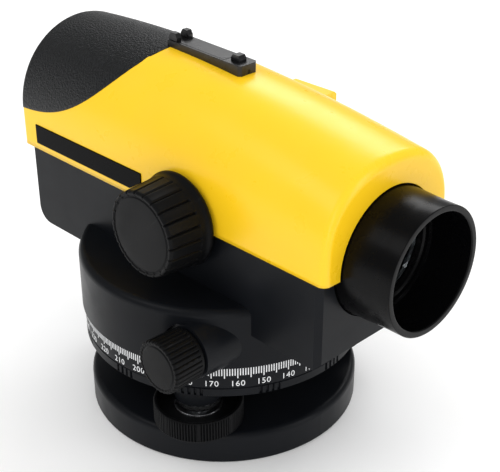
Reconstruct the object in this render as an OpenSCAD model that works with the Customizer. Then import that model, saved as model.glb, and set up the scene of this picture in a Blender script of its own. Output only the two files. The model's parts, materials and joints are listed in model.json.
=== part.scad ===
// Automatic level: tribrach with three foot screws, horizontal circle, endless tangent drive,
// telescope housing with compensator, focusing drive, eyepiece and circular level.
// +X runs along the line of sight to the objective, +Z is up, millimetres.
// The origin is the centre of the tripod thread, on the underside of the base plate.

/* [Base and foot screws] */
// Radius of the round base plate
base_r = 57; // [55:0.5:60]
// Thickness of the base plate
base_h = 13.5; // [13:0.1:14]
// Radius of the hole for the 5/8 inch tripod screw
tripod_r = 7.94; // [7.9:0.01:8]
// Distance of each foot screw from the vertical axis
foot_reach = 46.2; // [45.5:0.1:46.5]
// Direction of the first foot screw, counter-clockwise from the line of sight
foot_angle = -56; // [-60:1:-50]
// Radius of a foot screw's knob
foot_knob_r = 18; // [17:0.1:18.5]

/* [Horizontal circle and drum] */
// Radius of the graduated ring
ring_r = 58; // [57.5:0.1:58.5]
// Height of the graduated ring's lower edge
ring_z = 32.8; // [32.7:0.1:33]
// Height of the graduated ring itself
ring_h = 13.5; // [13:0.1:13.5]
// Radius of the housing's drum
drum_r = 59; // [58.5:0.1:60]
// Height of the drum's flat top
drum_top = 71.7; // [71:0.1:72.5]

/* [Housing] */
// Half the width of the lower housing
box_half = 32.3; // [32:0.1:32.5]
// Rear wall of the lower housing
box_rear = -83.6; // [-84:0.1:-83]
// Front wall of the lower housing
box_front = 82.3; // [82:0.1:83]
// Height of the lower housing's underside
box_z = 60.8; // [60.5:0.1:61]
// Height of the joint between the lower housing and the upper cover
split_z = 96.4; // [96:0.1:96.8]
// Half the width of the upper cover
cover_half = 33.6; // [33.3:0.1:34]
// Rear end of the upper cover
cover_rear = -88.4; // [-88.6:0.1:-88]
// Front end of the upper cover
cover_front = 85.3; // [85:0.1:86]
// Height of the highest point of the roof
roof_top = 148.6; // [148:0.1:149.5]

/* [Telescope] */
// Height of the line of sight
sight_z = 97.9; // [97.8:0.1:98]
// Radius of the objective barrel's parallel front rim
barrel_r = 24.3; // [24:0.1:24.5]
// Front end of the objective barrel
barrel_front = 105.2; // [104:0.1:106]
// Position of the focusing knob along the line of sight
focus_x = 14.7; // [14.5:0.1:15]
// Radius of the focusing knob at its flange
focus_knob_r = 18.8; // [18:0.1:19]
// Distance of the tangent shaft in front of the vertical axis
tangent_x = 35.3; // [35.2:0.1:35.6]
// Height of the tangent shaft
tangent_z = 55.9; // [55.8:0.1:56]

/* [Hidden] */
$fn = 96;
e = 0.01;               // overlap that keeps cuts clean
far = 200;              // longer than the instrument
gap = 0.3;              // clearance between parts that pass each other
run = 0.04;             // radial clearance of a running fit
play = 0.05;            // radial clearance of a screw in its hole
wall = 2.5;             // thickness of the housing walls
shell = 2.2;            // thickness of the upper cover

// Foot screws
foot_turns = [0, 120, 240];
leaf_t = 1.2;           // thickness of the spring plate
leaf_z = base_h - 1.5;  // the spring plate lies in a pocket of the base plate
leaf_hub_r = 24;
leaf_arm_w = 16;
ball_r = 4.5;
ball_z = 7.5;
neck_r = 3;
stem_r = 4;
stem_top = 30;
knob_z = 14.3;
knob_top = 23.8;
knob_floor = 21;        // floor of the recess in the knob's top
leaf_screw_reach = 18;

// Tribrach
arm_z = 26;
arm_top = 32.2;
arm_end_r = 9.5;
bush_z = 23.4;
bush_r = 8.7;
bush_seat_r = 6.5;
bush_bore = 4.7;        // room for the stem while the tribrach tilts
sleeve_r = 12;
sleeve_z = 20;
sleeve_top = 57.2;
seat_r = 20;            // journal that the graduated ring turns on
seat_top = 44.5;
shoulder_r = 15;
shoulder_top = 47.2;
sleeve_screw_reach = 17.5;

// Vertical axis
axis_r = 8;
axis_flange_r = 16;
axis_flange_z = sleeve_top + gap;
axis_end_r = 5;
nut_top = sleeve_z - gap;
nut_z = 17;
floor_z = box_z + 3.5;  // inside of the lower housing
axis_screw_reach = 12;

// Tangent drive
wheel_r = 32;
wheel_teeth = 90;
tooth_gap = 1.1;
tooth_lead = 7;         // slope of the worm's thread, degrees
worm_r = 3;
worm_half = 9;
worm_pitch = 2 * PI * wheel_r / wheel_teeth;
worm_offset = 0.4;
journal_r = 2.5;
boss_end = 51;
boss_r = 10.8;
boss_root = 31;
boss_root_r = 12.4;
tangent_knob_end = 66;
tangent_grip_r = 10.4;
tangent_face_r = 10.7;

// Focusing drive
focus_z = sight_z + 0.2;
focus_shaft_r = 3;
focus_bush_r = 7;
focus_bush_end = 34.4;
focus_face = 54.4;
tooth_module = 0.5;
pinion_teeth = 16;
pinion_pitch_r = tooth_module * pinion_teeth / 2;
backlash = 0.12;
pinion_end = 15.9;
pinion_start = 19.5;
rack_teeth = 19;
tube_r = 15.5;
tube_bore = 13.05;
tube_rear = -4;
tube_front = 66;
cell_r = 13;
cell_bore = 9.5;
cell_x = 6;
cell_len = 18;

// Objective
taper = 0.047;          // fall of the barrel's radius for each millimetre forward
rim_len = 7;
barrel_rear = 60;
lens_bore = 20.5;
lens_x = 78;
lens_len = 6;
retainer_len = 2.7;
retainer_bore = 18.8;
seat_bore = 16.5;
cap_bore = 21.8;
cap_depth = 17;

// Compensator
comp_x = -29;
comp_half_len = 15;
comp_half_w = 17;
comp_side = 3;
comp_top = 121;
pivot_z = 114;
pin_r = 1.2;

// Eyepiece
mount_r = 12.5;
mount_front = -62;
mount_rear = -98;
mount_journal = 11;
mount_bore = 9;
eye_cell_r = 8.94;
eye_cell_bore = 7;
dioptre_r = 15;
dioptre_rear = -104;

// Circular level, on the left-hand side
level_x = 3;
level_y = 44.5;
level_case_r = 9;
level_flange_r = 11.2;
vial_r = 7.5;
level_z = 93;
hood_x1 = -8;
hood_x2 = 14;
hood_y = 52;
hood_top = 124.8;

// Roof
roof_crest = -44;
roof_bend_r = 588;
spring_rear = 113;
spring_front = 105;
arch_power = 2;
arch_power_gain = 0.3;
arch_steps = 24;
mid_stations = 8;
front_round = 3;
rear_round = 1.5;

// Edge of the rear hood, seen from the side
hood_start = -90;
hood_len = 67.5;
hood_low = 113;
hood_slope = 3;
hood_rise = 33;
hood_power = 2.5;

// Sight rail
rail_rear = -25;
rail_len = 40.5;
rail_half = 4.75;
rail_h = 4.2;
rail_z = 146.5;
rail_fall = 1.6;        // degrees

pillars = [[44, 28.6], [44, -28.6], [-70, 28.6], [-70, -28.6]];

// ---------- shared shapes ----------

module ring(r_out, r_in, h) {
  difference() {
    cylinder(r = r_out, h = h);
    translate([0, 0, -1]) cylinder(r = r_in, h = h + 2);
  }
}

// Puts a shape drawn along +Z on the line of sight, starting at x
module on_sight(x) {
  translate([x, 0, sight_z]) rotate([0, 90, 0]) children();
}

// Puts a shape drawn along +Z on a line across the instrument, running towards +Y
module across(x, y, z) {
  translate([x, y, z]) rotate([-90, 0, 0]) children();
}

// Copies a shape to the three foot screws
module at_feet() {
  for (turn = foot_turns) rotate([0, 0, foot_angle + turn]) translate([foot_reach, 0, 0]) children();
}

// Copies a shape between the foot screws
module between_feet(reach) {
  for (turn = foot_turns) rotate([0, 0, foot_angle + turn + 60]) translate([reach, 0, 0]) children();
}

module at_pillars() {
  for (place = pillars) translate([place[0], place[1], 0]) children();
}

module pan_screw(z, head_r, head_h, shank_r, shank_len) {
  translate([0, 0, z]) cylinder(r = head_r, h = head_h);
  translate([0, 0, z - shank_len]) cylinder(r = shank_r, h = shank_len + e);
}

// Flat star with a round hub and an arm to each foot screw
module star(hub_r, arm_w, end_r) {
  circle(r = hub_r);
  for (turn = foot_turns) rotate(foot_angle + turn) {
    translate([0, -arm_w / 2]) square([foot_reach, arm_w]);
    translate([foot_reach, 0]) circle(r = end_r);
  }
}

// ---------- base plate and foot screws ----------

module base_plate() {
  round_r = 2.5;
  lip = 0.6;
  color([0.12, 0.13, 0.15]) difference() {
    rotate_extrude() {
      square([base_r - round_r, base_h]);
      translate([0, lip]) square([base_r, base_h - round_r - lip]);
      translate([base_r - round_r, base_h - round_r]) circle(r = round_r);
      square([base_r - lip, base_h - round_r]);
    }
    translate([0, 0, -1]) cylinder(r = tripod_r, h = base_h + 2);
    translate([0, 0, -1]) ring(38, 20, 8);
    translate([0, 0, leaf_z]) linear_extrude(base_h) star(leaf_hub_r + 0.2, leaf_arm_w + 0.4, 8.2);
    at_feet() translate([0, 0, ball_z - ball_r - 0.2]) cylinder(r = ball_r + 0.1, h = base_h);
    between_feet(leaf_screw_reach) translate([0, 0, 7.9]) cylinder(r = 1.5 + play, h = base_h);
  }
}

module spring_plate() {
  color([0.7, 0.71, 0.73]) translate([0, 0, leaf_z]) difference() {
    linear_extrude(leaf_t) star(leaf_hub_r, leaf_arm_w, 8);
    translate([0, 0, -1]) cylinder(r = tripod_r + 1.5, h = 4);
    at_feet() translate([0, 0, -1]) cylinder(r = neck_r + 0.2, h = 4);
    between_feet(leaf_screw_reach) translate([0, 0, -1]) cylinder(r = 1.5 + play, h = 4);
  }
}

module spring_plate_screws() {
  color([0.75, 0.75, 0.76]) between_feet(leaf_screw_reach) pan_screw(leaf_z + leaf_t, 2.6, 1.8, 1.5, 5);
}

module foot_knob(turn) {
  edge = 0.6;
  color([0.15, 0.16, 0.18]) rotate([0, 0, foot_angle + turn]) translate([foot_reach, 0, 0])
    rotate_extrude() polygon([
      [neck_r, knob_z], [foot_knob_r - edge, knob_z], [foot_knob_r, knob_z + edge],
      [foot_knob_r, knob_top - edge], [foot_knob_r - edge, knob_top], [foot_knob_r - 1.6, knob_top],
      [foot_knob_r - 1.8, knob_floor], [9.6, knob_floor], [9.6, knob_floor + 0.6],
      [6.6, knob_floor + 0.6], [6.6, knob_floor], [neck_r, knob_floor]
    ]);
}

module foot_spindle(turn) {
  color([0.62, 0.63, 0.65]) rotate([0, 0, foot_angle + turn]) translate([foot_reach, 0, 0]) {
    translate([0, 0, ball_z]) sphere(r = ball_r);
    translate([0, 0, ball_z]) cylinder(r = neck_r, h = stem_top - ball_z);
    translate([0, 0, knob_floor]) cylinder(r = stem_r, h = stem_top - knob_floor);
  }
}

// ---------- tribrach ----------

module tribrach_body() {
  color([0.13, 0.14, 0.16]) difference() {
    union() {
      translate([0, 0, arm_z]) linear_extrude(arm_top - arm_z) star(30, 2 * arm_end_r, arm_end_r);
      translate([0, 0, 21.5]) cylinder(r = 14, h = arm_z - 21.5 + e);
    }
    cylinder(r = sleeve_r, h = far);
    at_feet() cylinder(r = bush_seat_r, h = far);
    between_feet(sleeve_screw_reach) cylinder(r = 1.5 + play, h = far);
  }
}

module foot_bushes() {
  color([0.6, 0.61, 0.63]) at_feet() {
    translate([0, 0, bush_z]) ring(bush_r, bush_bore, arm_z - bush_z);
    translate([0, 0, arm_z - e]) ring(bush_seat_r, bush_bore, arm_top - arm_z + e);
  }
}

module axis_sleeve() {
  color([0.72, 0.6, 0.35]) difference() {
    union() {
      translate([0, 0, sleeve_z]) cylinder(r = sleeve_r, h = sleeve_top - sleeve_z);
      translate([0, 0, arm_top]) cylinder(r = seat_r, h = seat_top - arm_top);
      translate([0, 0, seat_top - e]) cylinder(r = shoulder_r, h = shoulder_top - seat_top + e);
    }
    cylinder(r = axis_r + run, h = far);
    between_feet(sleeve_screw_reach) cylinder(r = 1.5 + play, h = 38.1);
  }
}

module sleeve_screws() {
  color([0.75, 0.75, 0.76]) between_feet(sleeve_screw_reach) {
    translate([0, 0, arm_z - 2]) cylinder(r = 2.8, h = 2);
    translate([0, 0, arm_z - e]) cylinder(r = 1.5, h = 12);
  }
}

module friction_washer() {
  color([0.7, 0.71, 0.73]) translate([0, 0, shoulder_top]) ring(14.8, sleeve_r + run, 1.4);
}

// ---------- horizontal circle and worm wheel ----------

module circle_ring() {
  web_z = 41;
  web_top = 44;
  color([0.14, 0.15, 0.17]) difference() {
    union() {
      translate([0, 0, ring_z]) ring(ring_r, ring_r - 4, ring_h);
      translate([0, 0, web_z]) cylinder(r = ring_r - 3, h = web_top - web_z);
      translate([0, 0, ring_z + 0.4]) cylinder(r = 23, h = web_top - ring_z - 0.4);
    }
    cylinder(r = seat_r + run, h = far);
  }
}

module worm_wheel() {
  hub_z = shoulder_top + 1.4 + gap;
  color([0.72, 0.6, 0.35]) difference() {
    union() {
      translate([0, 0, hub_z]) cylinder(r = 18, h = 56 - hub_z);
      translate([0, 0, 53]) cylinder(r = 28, h = 3);
      translate([0, 0, 53]) ring(wheel_r, 27, 6);
    }
    cylinder(r = sleeve_r + run, h = far);
    for (i = [0 : wheel_teeth - 1]) rotate([0, 0, 360 * i / wheel_teeth]) translate([wheel_r, 0, tangent_z])
      rotate([tooth_lead, 0, 0]) cube([2, tooth_gap, 12], center = true);
  }
}

// ---------- vertical axis ----------

module vertical_axis() {
  color([0.7, 0.71, 0.73]) difference() {
    union() {
      translate([0, 0, nut_z - 0.4]) cylinder(r = axis_end_r, h = 6);
      translate([0, 0, nut_top]) cylinder(r = axis_r, h = axis_flange_z - nut_top + e);
      translate([0, 0, axis_flange_z]) cylinder(r = axis_flange_r, h = box_z - axis_flange_z);
    }
    between_feet(axis_screw_reach) translate([0, 0, 58.2]) cylinder(r = 1.5 + play, h = far);
  }
}

module axis_nut() {
  color([0.72, 0.6, 0.35]) translate([0, 0, nut_z]) difference() {
    cylinder(r = 9, h = nut_top - nut_z, $fn = 6);
    translate([0, 0, -1]) cylinder(r = axis_end_r, h = 6);
  }
}

module axis_screws() {
  color([0.75, 0.75, 0.76]) between_feet(axis_screw_reach) pan_screw(floor_z, 2.8, 1.8, 1.5, 6);
}

// ---------- lower housing ----------

module drum_body() {
  round_r = 3;
  drum_z = ring_z + ring_h + gap;
  rotate_extrude() {
    translate([0, drum_z]) square([drum_r, drum_top - round_r - drum_z]);
    translate([0, drum_z]) square([drum_r - round_r, drum_top - drum_z]);
    translate([drum_r - round_r, drum_top - round_r]) circle(r = round_r);
  }
}

// Outline of the box seen from the side, with a round rear corner and a chamfered front one
module box_side() {
  corner = 7;
  cut = 1.5;
  difference() {
    translate([box_rear, box_z]) square([box_front - box_rear, split_z - box_z]);
    translate([box_rear - 1, box_z - 1]) square([corner + 1, corner + 1]);
    translate([box_front, box_z]) rotate(45) square([2 * cut, 2 * cut], center = true);
  }
  translate([box_rear + corner, box_z + corner]) circle(r = corner);
}

module box_body() {
  side_cut = 1.5;
  difference() {
    rotate([90, 0, 0]) linear_extrude(2 * box_half, center = true) box_side();
    for (side = [-1, 1]) translate([box_front, side * box_half, box_z - 1])
      rotate([0, 0, 45]) translate([-side_cut, -side_cut, 0]) cube([2 * side_cut, 2 * side_cut, far]);
  }
}

// Tapered fairing around one end of the tangent shaft
module tangent_boss(side) {
  drum_z = ring_z + ring_h + gap;
  intersection() {
    across(tangent_x, side > 0 ? boss_root : -boss_end, tangent_z)
      cylinder(r1 = side > 0 ? boss_root_r : boss_r, r2 = side > 0 ? boss_r : boss_root_r,
               h = boss_end - boss_root);
    translate([0, side > 0 ? 0 : -far, drum_z]) cube([far, far, drum_top - drum_z]);
  }
}

// The box between the drum and the cover. The drum is cast in one with it and is a node of its own.
module lower_housing() {
  color([0.11, 0.12, 0.14]) difference() {
    union() {
      difference() {
        box_body();
        translate([box_rear + wall, wall - box_half, floor_z])
          cube([box_front - box_rear - 2 * wall, 2 * (box_half - wall), far]);
      }
      at_pillars() translate([0, 0, floor_z - 1]) cylinder(r = 3, h = split_z - floor_z + 1);
    }
    at_pillars() cylinder(r = 1.5 + play, h = far);
    at_pillars() translate([0, 0, box_z - 1]) cylinder(r = 3.2, h = 3.4);
    between_feet(axis_screw_reach) cylinder(r = 1.5 + play, h = floor_z + 1);
    on_sight(0) cylinder(r = 25.6, h = far);
    on_sight(-far) cylinder(r = mount_r, h = far);
    across(focus_x, -far, focus_z) cylinder(r = focus_bush_r, h = far);
  }
}

module drum_housing() {
  cavity_z = ring_z + ring_h;
  color([0.11, 0.12, 0.14]) difference() {
    union() {
      drum_body();
      tangent_boss(1);
      tangent_boss(-1);
    }
    translate([0, 0, cavity_z]) cylinder(r = drum_r - wall, h = drum_top - wall - cavity_z);
    translate([-far / 2, -box_half, box_z]) cube([far, 2 * box_half, far]);
    for (side = [-1, 1]) across(tangent_x, side > 0 ? 40 : -60, tangent_z) cylinder(r = 5, h = 20);
    for (side = [-1, 1]) across(tangent_x, side > 0 ? boss_end : -far, tangent_z)
      cylinder(r = tangent_face_r + 0.5, h = far - boss_end);
  }
}

// ---------- upper cover ----------

function along(x) = (x - cover_rear) / (cover_front - cover_rear);
function roof_z(x) = roof_top - pow(x - roof_crest, 2) / (2 * roof_bend_r);
function spring_z(x) = spring_rear + (spring_front - spring_rear) * along(x);
function power(x) = arch_power + arch_power_gain * along(x);
function bend(value, n) = sign(value) * pow(abs(value), 2 / n);

// One outline of the cover at x, drawn in from its full size
function arch(x, inset, low) =
  let (half = cover_half - inset, foot = spring_z(x), rise = roof_z(x) - inset - foot, n = power(x))
  concat(
    [[x, half, low]],
    [for (i = [0 : arch_steps]) let (a = 180 * i / arch_steps)
      [x, half * bend(cos(a), n), foot + rise * bend(sin(a), n)]],
    [[x, -half, low]]
  );

// Stations along the cover: [x, inset], with rounded ends
function stations(x0, x1, r0, r1) = concat(
  [for (a = [90 : -30 : 0]) [x0 + r0 - r0 * sin(a), r0 - r0 * cos(a)]],
  [for (i = [1 : mid_stations - 1]) [x0 + r0 + (x1 - r1 - x0 - r0) * i / mid_stations, 0]],
  [for (a = [0 : 30 : 90]) [x1 - r1 + r1 * sin(a), r1 - r1 * cos(a)]]
);

module arch_body(inset, low, r0, r1) {
  places = stations(cover_rear + inset, cover_front - inset, r0, r1);
  rows = len(places);
  n = arch_steps + 3;
  points = [for (place = places) each arch(place[0], inset + place[1], low)];
  skin = [for (i = [0 : rows - 2]) for (j = [0 : n - 1]) let (k = (j + 1) % n)
    each [[i * n + j, (i + 1) * n + j, i * n + k], [i * n + k, (i + 1) * n + j, (i + 1) * n + k]]];
  rear_end = [for (j = [0 : n - 1]) j];
  front_end = [for (j = [n - 1 : -1 : 0]) (rows - 1) * n + j];
  polyhedron(points, concat(skin, [rear_end], [front_end]), convexity = 4);
}

module arch_shell() {
  difference() {
    arch_body(0, split_z, rear_round, front_round);
    arch_body(shell, split_z - 1, 0.5, 2);
    on_sight(0) cylinder(r = 25.6, h = far);
    on_sight(-far) cylinder(r = mount_r, h = far);
    across(focus_x, -far, focus_z) cylinder(r = focus_bush_r, h = far);
    rail_block(far);
  }
}

// Everything above and behind the rear hood's edge
module hood_region() {
  edge = [for (t = [0 : 0.08 : 1.04])
    [hood_start + hood_len * t, hood_low + hood_slope * t + hood_rise * pow(t, hood_power)]];
  rotate([90, 0, 0]) linear_extrude(far, center = true)
    polygon(concat(edge, [[hood_start + hood_len * 1.04, far], [-far, far], [-far, hood_low]]));
}

module upper_cover() {
  color([0.95, 0.74, 0.05]) {
    difference() {
      arch_shell();
      hood_region();
    }
    at_pillars() translate([0, 0, split_z]) ring(3, 1.5 + play, 7);
  }
}

module rear_hood() {
  color([0.1, 0.1, 0.11]) intersection() {
    arch_shell();
    hood_region();
  }
}

module name_plate() {
  color([0.03, 0.03, 0.03]) translate([0, -cover_half, 0]) rotate([90, 0, 0]) linear_extrude(0.5)
    polygon([[-78.5, 99.3], [-16.4, 99.3], [-9.2, 103.9], [-9.2, 107.8], [-78.5, 107.8]]);
}

module rail_block(h) {
  translate([rail_rear, 0, rail_z]) rotate([0, rail_fall, 0]) translate([0, -rail_half, 0])
    cube([rail_len, 2 * rail_half, h]);
}

module sight_rail() {
  ear_h = 3.1;
  color([0.08, 0.08, 0.09]) {
    rail_block(rail_h);
    translate([rail_rear, 0, rail_z]) rotate([0, rail_fall, 0]) {
      for (side = [-1, 1]) translate([0.3, side * 3 - 1.2, rail_h - e]) cube([3.4, 2.4, ear_h]);
      translate([33, -1.8, rail_h - e]) cube([4, 3.6, 2.4]);
    }
  }
}

module cover_screws() {
  color([0.3, 0.3, 0.32]) at_pillars() {
    translate([0, 0, box_z]) cylinder(r = 3, h = 2.4);
    translate([0, 0, box_z + 2]) cylinder(r = 1.5, h = 40);
  }
}

// ---------- telescope ----------

module barrel_cone() {
  cone_front = barrel_front - rim_len;
  on_sight(barrel_rear)
    cylinder(r1 = barrel_r + taper * (cone_front - barrel_rear), r2 = barrel_r,
             h = cone_front - barrel_rear);
}

module objective_barrel() {
  color([0.06, 0.06, 0.07]) difference() {
    union() {
      barrel_cone();
      on_sight(barrel_front - rim_len - e) cylinder(r = barrel_r, h = rim_len + e);
    }
    on_sight(barrel_rear - 1) cylinder(r = tube_r, h = far);
    on_sight(tube_front) cylinder(r = seat_bore, h = far);
    on_sight(lens_x) cylinder(r = lens_bore, h = far);
    on_sight(barrel_front - cap_depth) cylinder(r = cap_bore, h = far);
  }
}

module objective_lens() {
  bulge = 110;
  color([0.5, 0.6, 0.7, 0.4]) intersection() {
    on_sight(lens_x) cylinder(r = lens_bore, h = lens_len);
    translate([lens_x + lens_len - bulge, 0, sight_z]) sphere(r = bulge, $fn = 200);
  }
}

module lens_retainer() {
  color([0.1, 0.1, 0.11]) on_sight(lens_x + lens_len) ring(lens_bore, retainer_bore, retainer_len);
}

module barrel_saddle() {
  color([0.4, 0.41, 0.43]) difference() {
    translate([62, -12, floor_z]) cube([12, 24, 20]);
    barrel_cone();
  }
}

module telescope_tube() {
  color([0.3, 0.31, 0.33]) difference() {
    on_sight(tube_rear) ring(tube_r, tube_bore, tube_front - tube_rear);
    translate([-0.8, -20, 89.4]) cube([31, 14, 4.4]);
  }
}

module compensator_frame() {
  inner = comp_half_w - comp_side;
  length = 2 * comp_half_len;
  color([0.5, 0.51, 0.53]) difference() {
    union() {
      translate([comp_x - comp_half_len, -comp_half_w, floor_z]) cube([length, 2 * comp_half_w, 15.7]);
      for (side = [-1, 1]) translate([comp_x - comp_half_len, side * (inner + comp_side / 2) - comp_side / 2,
        floor_z + 1]) cube([length, comp_side, comp_top - floor_z - 2]);
      translate([comp_x - comp_half_len, -comp_half_w, comp_top - comp_side])
        cube([length, 2 * comp_half_w, comp_side]);
    }
    across(comp_x, -far / 2, pivot_z) cylinder(r = pin_r + run, h = far);
  }
}

module fixed_prism() {
  color([0.6, 0.75, 0.8, 0.5]) translate([-58, -9, floor_z]) {
    cube([11, 18, 24.7]);
    translate([0, 18, 24.7 - e]) rotate([90, 0, 0]) linear_extrude(18) polygon([[0, 0], [11, 0], [11, 16]]);
  }
}

module eyepiece_mount() {
  color([0.08, 0.08, 0.09]) difference() {
    union() {
      on_sight(mount_rear) cylinder(r = mount_journal, h = mount_front - mount_rear);
      on_sight(cover_rear) cylinder(r = mount_r, h = mount_front - cover_rear);
      on_sight(box_rear + wall) cylinder(r = 17, h = 2.6);
    }
    on_sight(-far) cylinder(r = mount_bore, h = far);
  }
}

module reticle_ring() {
  color([0.72, 0.6, 0.35]) on_sight(-66) ring(mount_bore, 7, 3);
}

module reticle() {
  color([0.6, 0.75, 0.8, 0.5]) on_sight(-65.4) cylinder(r = 7, h = 1.8);
}

// ---------- bushes ----------

module focus_bush() {
  color([0.72, 0.6, 0.35]) across(focus_x, -focus_bush_end, focus_z)
    ring(focus_bush_r, focus_shaft_r + run, 10.4);
}

module tangent_bushes() {
  color([0.72, 0.6, 0.35]) for (y = [-boss_end, boss_end - 9])
    across(tangent_x, y, tangent_z) ring(5, journal_r + run, 9);
}

// ---------- circular level ----------

module level_bracket() {
  color([0.1, 0.1, 0.11]) {
    translate([level_x - 10, box_half, level_z - 3]) cube([20, level_y - box_half, 3]);
    translate([level_x, level_y, level_z - 3]) cylinder(r = level_flange_r, h = 3);
  }
}

module level_case() {
  color([0.12, 0.12, 0.13]) translate([level_x, level_y, level_z]) difference() {
    union() {
      cylinder(r = level_case_r, h = 10);
      cylinder(r = level_flange_r, h = 2);
    }
    translate([0, 0, 2]) cylinder(r = vial_r, h = 10);
  }
}

module level_vial() {
  color([0.75, 0.9, 0.45, 0.6]) translate([level_x, level_y, level_z + 2]) cylinder(r = vial_r, h = 8.5);
}

module level_screws() {
  color([0.75, 0.75, 0.76]) for (turn = foot_turns) translate([level_x, level_y, 0])
    rotate([0, 0, turn + 30]) translate([10.1, 0, level_z + 2]) cylinder(r = 1, h = 1.4);
}

// Cross-section of the hood over the circular level, seen along the line of sight: [y, z]
module hood_section(inset) {
  polygon([
    [cover_half - 12, 112 - 2 * inset], [hood_y - inset, 112 - 2 * inset], [hood_y - inset, hood_top - 2.4],
    [hood_y - 2.4, hood_top - inset], [cover_half - 12, hood_top - inset]
  ]);
}

module prism_hood() {
  color([0.95, 0.74, 0.05]) difference() {
    translate([hood_x1, 0, 0]) rotate([90, 0, 90]) linear_extrude(hood_x2 - hood_x1) hood_section(0);
    translate([hood_x1 - 1, 0, 0]) rotate([90, 0, 90]) linear_extrude(hood_x2 - hood_x1 - 1)
      intersection() {
        hood_section(1.8);
        translate([cover_half + 2, 0]) square([far, far]);
      }
    arch_body(0, split_z, rear_round, front_round);
  }
}

module bubble_prism() {
  color([0.6, 0.75, 0.8, 0.5]) translate([0, 49.8, 0]) rotate([90, 0, 0]) linear_extrude(14)
    polygon([[hood_x1 + 3, 112], [hood_x2 - 2, 112], [hood_x2 - 2, 118]]);
}

// ---------- tangent drive ----------

module tangent_shaft() {
  length = tangent_knob_end - 2 - worm_half;
  color([0.62, 0.63, 0.65]) {
    across(tangent_x, worm_half, tangent_z) cylinder(r = journal_r, h = length);
    across(tangent_x, -worm_half - length, tangent_z) cylinder(r = journal_r, h = length);
  }
}

module worm() {
  turns = 2 * worm_half / worm_pitch;
  color([0.62, 0.63, 0.65]) across(tangent_x, -worm_half, tangent_z)
    linear_extrude(2 * worm_half, twist = -360 * turns, slices = 96, $fn = 16)
      translate([worm_offset, 0]) circle(r = worm_r - worm_offset);
}

module tangent_knob() {
  start = boss_end + gap;
  color([0.15, 0.16, 0.18]) across(tangent_x, start, tangent_z) difference() {
    cylinder(r1 = tangent_grip_r, r2 = tangent_face_r, h = tangent_knob_end - start);
    translate([0, 0, -1]) cylinder(r = journal_r, h = tangent_knob_end - start - 1);
  }
}

// ---------- focusing drive ----------

// Point of an involute at a radius, as [radius, angle]
function involute_angle(base, r) = sqrt(pow(r / base, 2) - 1) * 180 / PI - acos(base / r);

// One side of a pinion tooth, from root to tip; side is 1 or -1
function flank(side, base, root, tip, half) = [for (i = [0 : 4]) let (
    r = max(base, root) + (tip - max(base, root)) * i / 4,
    a = side * (half - involute_angle(base, r)))
  [r * cos(a), r * sin(a)]];

module pinion_outline() {
  base = pinion_pitch_r * cos(20);
  root = pinion_pitch_r - 1.25 * tooth_module;
  tip = pinion_pitch_r + tooth_module;
  half = 90 / pinion_teeth - backlash / pinion_pitch_r * 45 / PI + involute_angle(base, pinion_pitch_r);
  circle(r = root);
  for (i = [0 : pinion_teeth - 1]) rotate(360 * (i + 0.5) / pinion_teeth - 90)
    polygon(concat([[root - 0.3, -0.3]], flank(-1, base, root, tip, half),
      [for (p = [4 : -1 : 0]) flank(1, base, root, tip, half)[p]], [[root - 0.3, 0.3]]));
}

module focus_pinion() {
  color([0.62, 0.63, 0.65]) {
    across(focus_x, -focus_face + 2, focus_z)
      cylinder(r = focus_shaft_r, h = focus_face - 2 - pinion_start + e);
    translate([focus_x, -pinion_end, focus_z]) rotate([90, 0, 0])
      linear_extrude(pinion_start - pinion_end) pinion_outline();
  }
}

module focus_knob() {
  flange = 2.4;
  start = focus_bush_end + gap;
  color([0.15, 0.16, 0.18]) difference() {
    union() {
      across(focus_x, -focus_face, focus_z)
        cylinder(r1 = focus_knob_r - 1.9, r2 = focus_knob_r - 0.9, h = focus_face - start - flange + e);
      across(focus_x, -start - flange, focus_z) cylinder(r = focus_knob_r, h = flange);
    }
    across(focus_x, -focus_face + 2, focus_z) cylinder(r = focus_shaft_r, h = far);
  }
}

module rack_outline() {
  pitch = PI * tooth_module;
  low = focus_z - pinion_pitch_r - 1.25 * tooth_module;
  high = focus_z - pinion_pitch_r + tooth_module;
  slope = tan(20);
  half = pitch / 4 - backlash / 4;
  line = focus_z - pinion_pitch_r;
  length = rack_teeth * pitch;
  translate([focus_x - length / 2, 90]) square([length, low - 90 + e]);
  for (i = [0 : rack_teeth - 1]) translate([focus_x + (i - (rack_teeth - 1) / 2) * pitch, 0])
    polygon([[-half - (line - low) * slope, low], [half + (line - low) * slope, low],
      [half - (high - line) * slope, high], [-half + (high - line) * slope, high]]);
}

module focus_cell() {
  color([0.72, 0.6, 0.35]) {
    on_sight(cell_x) ring(cell_r, cell_bore, cell_len);
    difference() {
      translate([focus_x - 4, -pinion_start + 0.2, 90]) cube([8, 12, 3.2]);
      on_sight(cell_x - 1) cylinder(r = cell_bore + 1, h = cell_len + 2);
    }
    translate([0, -16, 0]) rotate([90, 0, 0]) linear_extrude(3.3) rack_outline();
  }
}

module focus_lens() {
  hollow = 30;
  x = focus_x - 3;
  color([0.5, 0.6, 0.7, 0.4]) difference() {
    on_sight(x) cylinder(r = cell_bore, h = 6);
    translate([x + 4.8 + hollow, 0, sight_z]) sphere(r = hollow, $fn = 128);
    translate([x + 1.2 - hollow, 0, sight_z]) sphere(r = hollow, $fn = 128);
  }
}

// ---------- compensator pendulum ----------

module pendulum() {
  color([0.72, 0.6, 0.35]) {
    for (side = [-1, 1]) translate([comp_x - 3, side * 10.5 - 1.5, 85]) cube([6, 3, 31]);
    translate([comp_x - 3, -12, pivot_z - 2]) cube([6, 24, 4]);
    translate([comp_x - 7, -12, 82]) cube([14, 24, 4]);
    across(comp_x, -comp_half_w, pivot_z) cylinder(r = pin_r, h = 2 * comp_half_w);
  }
}

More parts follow.
